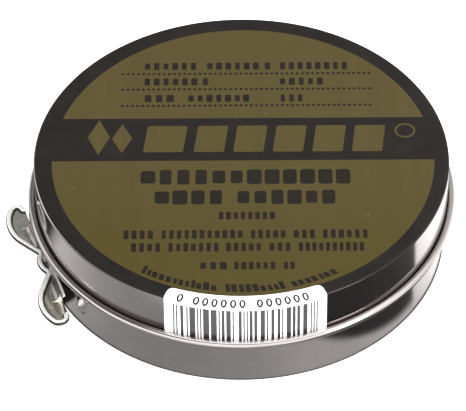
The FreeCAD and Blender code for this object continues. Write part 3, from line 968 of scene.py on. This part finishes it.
class Field(Nodes):
    """A brightness worked out from a place or a direction."""

    def __init__(self, tree, source):
        tree.nodes.clear()
        super().__init__(tree, source)
        self.x, self.y, self.z = (self.along(axis) for axis in "XYZ")

    def smooth(self, value, low, high, top=1.0):
        """0 below low, top above high. low may be the larger one, for a fall instead of a rise."""
        if low > high:
            return self.spread(value, high, low, top, 0.0, smooth=True)
        return self.spread(value, low, high, 0.0, top, smooth=True)

    def dim(self, value, shade, depth=1.0):
        """The value with that depth of it taken away where shade is 1."""
        return self.times(value, self.math("SUBTRACT", 1.0, self.times(shade, depth)))

    def line(self, x_share, y_share, offset):
        """How far a place is beyond a line, as x_share x + y_share y + offset."""
        return self.plus(self.times(self.x, x_share), self.times(self.y, y_share), offset)

    def lobe(self, towards, low, high, strength=1.0):
        """Bright round a direction: strength where the cosine to it is above high, nothing below low."""
        node = self.add("VectorMath", operation="DOT_PRODUCT")
        node.inputs[1].default_value = Vector(towards).normalized()
        self.join(self.where, node.inputs[0])
        return self.smooth(node.outputs["Value"], low, high, strength)

    def by_azimuth(self, table):
        """A brightness looked up by the azimuth of the place, in degrees from +X towards +Y."""
        turn = self.math("DIVIDE", self.math("ARCTAN2", self.y, self.x), 2 * pi)
        turn = self.math("FRACT", self.plus(turn, 1.0))
        ramp = self.add("ValToRGB")
        self.join(turn, ramp.inputs[0])
        elements = ramp.color_ramp.elements
        elements.remove(elements[-1])
        for place, (azimuth, value) in enumerate(sorted(table.items())):
            element = elements.new(azimuth / 360.0) if place else elements[0]
            element.position = azimuth / 360.0
            element.color = (*[value / BRIGHTEST] * 3, 1)
        return self.times(ramp.outputs["Color"], BRIGHTEST)


BRIGHTEST = 1.6
STUDIO_TINT = (1.0, 0.975, 0.965)


def table_glow():
    """What the metal mirrors of the table: bright far off, dimmer close by, dark where things stand."""
    material = bpy.data.materials.new("reflection_card")
    material.use_nodes = True
    field = Field(material.node_tree, "Object")
    out, emit = field.add("OutputMaterial"), field.add("Emission")
    field.join(emit.outputs[0], out.inputs["Surface"])

    near = field.by_azimuth(
        {0: 1.5, 22: 1.6, 40: 1.0, 60: 0.5, 90: 0.42, 150: 0.1, 168: 0.02, 184: 0.04, 188: 0.42, 192: 0.68,
         200: 0.62, 214: 0.43, 228: 0.345, 242: 0.315, 258: 0.33, 275: 0.375, 290: 0.48, 305: 0.50,
         328: 0.72, 342: 1.25, 352: 1.5, 360: 1.55})
    far = field.by_azimuth(
        {0: 1.55, 60: 1.2, 120: 0.9, 160: 0.6, 173: 0.9, 181: 0.4, 192: 0.12, 208: 0.09, 218: 0.3, 230: 0.45,
         244: 0.8, 257: 1.3, 290: 1.45, 301: 0.6, 318: 0.5, 327: 1.1, 336: 1.55, 360: 1.55})
    away = field.reach()
    share = field.smooth(away, 0.058, 0.070)
    glow = field.plus(field.dim(near, share), field.times(far, share))

    # a dark wedge at the front right, one beside the key, and the dark line where the tin meets the table
    right = field.times(field.smooth(field.line(0.343, -1.0, -0.0347), -0.0005, 0.0010),
                        field.smooth(field.line(0.821, -0.57, -0.04398), -0.0012, 0.0012),
                        field.smooth(away, 0.082, 0.068))
    left = field.times(field.smooth(field.line(-0.581, 0.814, -0.00496), -0.0006, 0.0008),
                       field.smooth(away, 0.0515, 0.0485), field.smooth(field.x, -0.02, -0.03))
    foot = field.smooth(away, 0.0430, 0.0424)
    for shade, depth in ((right, 0.93), (left, 0.97), (foot, 0.95)):
        glow = field.dim(glow, shade, depth)
    field.give(emit, Color=STUDIO_TINT, Strength=glow)
    return material


card = plane("reflection_card", 3.0, -0.0004, table_glow())
card.visible_camera = card.visible_diffuse = card.visible_shadow = False
card.visible_transmission = card.visible_volume_scatter = False


def build_world():
    """The studio round the tin: softboxes round the front and sides, one overhead, and a dimmer back."""
    world = bpy.context.scene.world = bpy.data.worlds.new("studio")
    world.use_nodes = True
    field = Field(world.node_tree, "Generated")
    out, back = field.add("OutputWorld"), field.add("Background")
    field.join(back.outputs[0], out.inputs["Surface"])
    front = field.times(field.smooth(field.z, -0.05, 0.06), field.smooth(field.z, 0.78, 0.58),
                        field.smooth(field.y, 0.15, -0.3, 1.4))
    for towards, low, depth in (((-1.0, 0.0, -0.02), 0.90, 0.85), ((0.95, -0.30, 0.08), 0.92, 0.75)):
        front = field.dim(front, field.lobe(towards, low, 0.98), depth)
    total = field.plus(front, 0.16)
    # direction, cosine to it where the light starts, cosine where it is full, strength
    lobes = (((-0.85, 0.25, 0.45), 0.88, 0.97, 1.0),
             ((-0.80, 0.60, 0.02), 0.92, 0.99, 0.6),
             ((0.95, 0.15, 0.10), 0.70, 0.92, 0.45),
             ((0.94, 0.34, -0.05), 0.90, 0.99, 0.8),
             ((0.66, 0.10, 0.74), 0.90, 0.99, 0.9),
             ((0.15, -0.06, 0.98), 0.85, 0.92, 1.42),
             ((0.30, 0.70, 0.65), 0.80, 1.00, 0.12),
             ((0.52, 0.62, 0.60), 0.80, 0.96, 0.36))
    for towards, low, high, strength in lobes:
        total = field.plus(total, field.lobe(towards, low, high, strength))
    field.give(back, Color=STUDIO_TINT, Strength=field.math("MINIMUM", total, BRIGHTEST))


build_world()


def area_light(name, azimuth, elevation, reach, size, energy, glossy=True):
    """A round lamp at that reach, aimed at the origin."""
    data = bpy.data.lights.new(name, "AREA")
    data.shape = "DISK"
    data.size = size
    data.energy = energy
    light = put(name, data)
    out = radians(elevation)
    light.location = Vector(polar(reach * cos(out), radians(azimuth), reach * sin(out)))
    light.rotation_mode = "QUATERNION"
    light.rotation_quaternion = light.location.normalized().to_track_quat("Z", "Y")
    light.visible_glossy = glossy
    light.visible_camera = False


area_light("key_lamp", 325, 38, 1.6, 0.5, 14.0)
area_light("top_fill", 90, 75, 2.2, 2.4, 46.0, glossy=False)
area_light("front_fill", 262, 50, 2.2, 1.8, 20.0, glossy=False)


def make_camera():
    """The camera fitted to the photograph: it looks at aim from the front, a little rolled."""
    elevation, distance, roll = radians(45.04), 0.748, radians(0.624)
    aim = Vector((-0.00179, 0.0, 0.0080))
    place = Vector((0, -cos(elevation), sin(elevation))) * distance
    data = bpy.data.cameras.new("camera")
    data.lens = 276.6
    data.sensor_width = 36.0
    data.clip_start, data.clip_end = 0.01, 50.0
    camera = put("camera", data)
    turn = (aim - place).to_track_quat("-Z", "Y").to_matrix().to_4x4()
    camera.matrix_world = Matrix.Translation(place) @ turn @ Matrix.Rotation(-roll, 4, "Z")
    bpy.context.scene.camera = camera


make_camera()
bpy.context.scene.view_settings.view_transform = "Standard"
